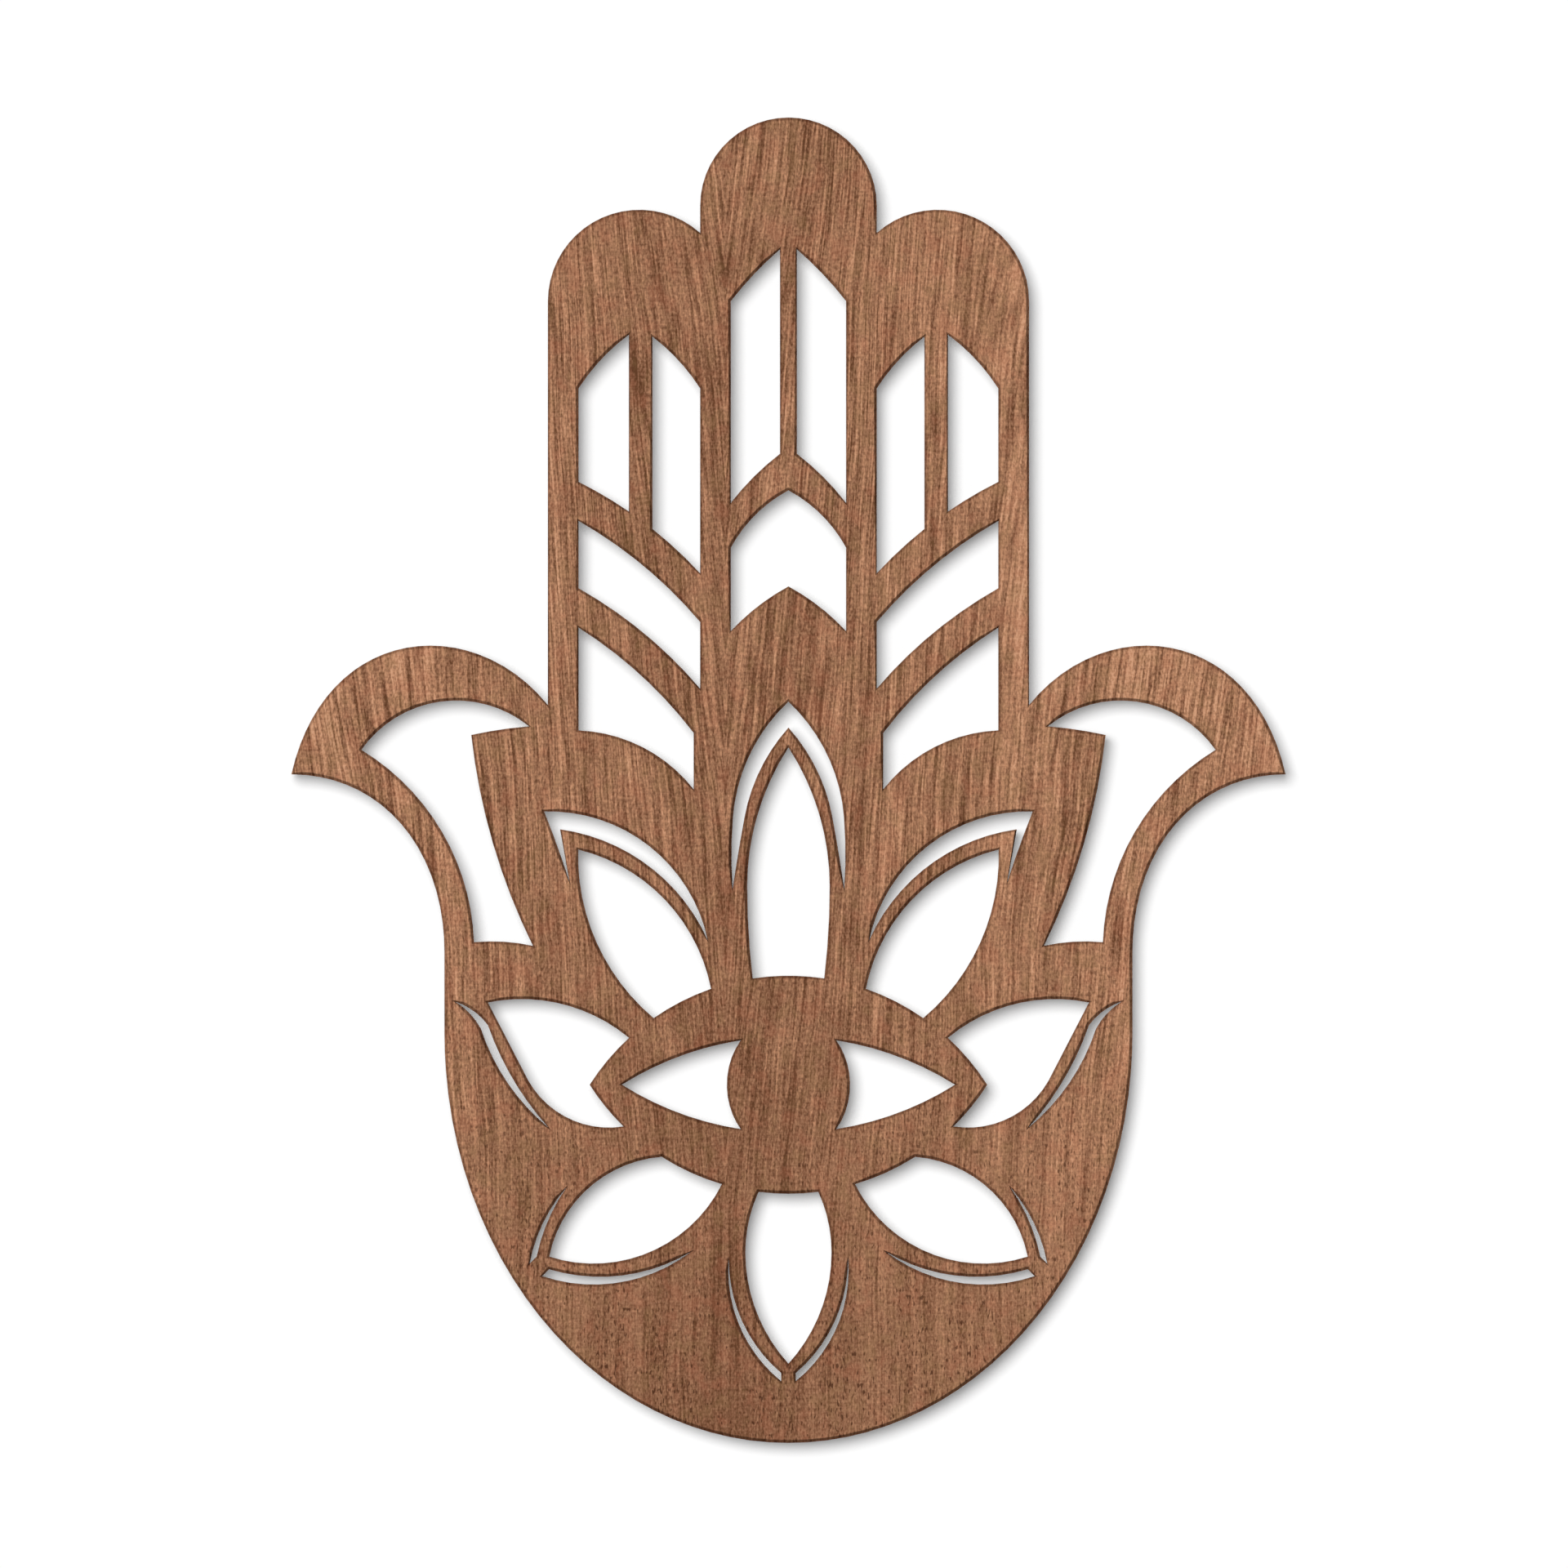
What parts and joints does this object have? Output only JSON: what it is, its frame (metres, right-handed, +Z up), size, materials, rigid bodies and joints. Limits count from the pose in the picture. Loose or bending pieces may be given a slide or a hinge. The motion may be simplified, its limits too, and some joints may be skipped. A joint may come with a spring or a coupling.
{
  "type": "hamsa hand wall ornament",
  "caption": "Fret-cut wooden hamsa hand with an eye and lotus petals in its palm, hung on a wall by a small swinging ring.",
  "frame": {"origin": "point on the wall plane where the nail carries the inside of the hanger ring's top", "axes": "+X to the viewer's right, +Y into the wall, +Z up along the middle finger"},
  "size_m": [0.3, 0.01, 0.4],
  "materials": {
    "face_wood": "satin brown veneer with upright grain",
    "core_wood": "bare board with darkened cut edges",
    "back_wood": "plain sanded veneer",
    "strap_steel": "zinc plated",
    "ring_steel": "zinc plated wire",
    "screw_steel": "zinc plated",
    "bumper_rubber": "matte moulded rubber"
  },
  "bodies": {
    "panel": {"face_veneer": "face_wood", "core_board": "core_wood", "back_veneer": "back_wood", "hanger_strap": "strap_steel", "hanger_screws": "screw_steel", "bumper_left": "bumper_rubber", "bumper_right": "bumper_rubber"},
    "ring": {"hanger_ring": "ring_steel"}
  },
  "joints": [
    {"name": "ring_swing", "type": "hinge", "parent": "panel", "child": "ring", "pos_m": [0, -0.00215, -0.011], "axis": [-1, 0, 0], "range_deg": [-3, 168]}
  ]
}
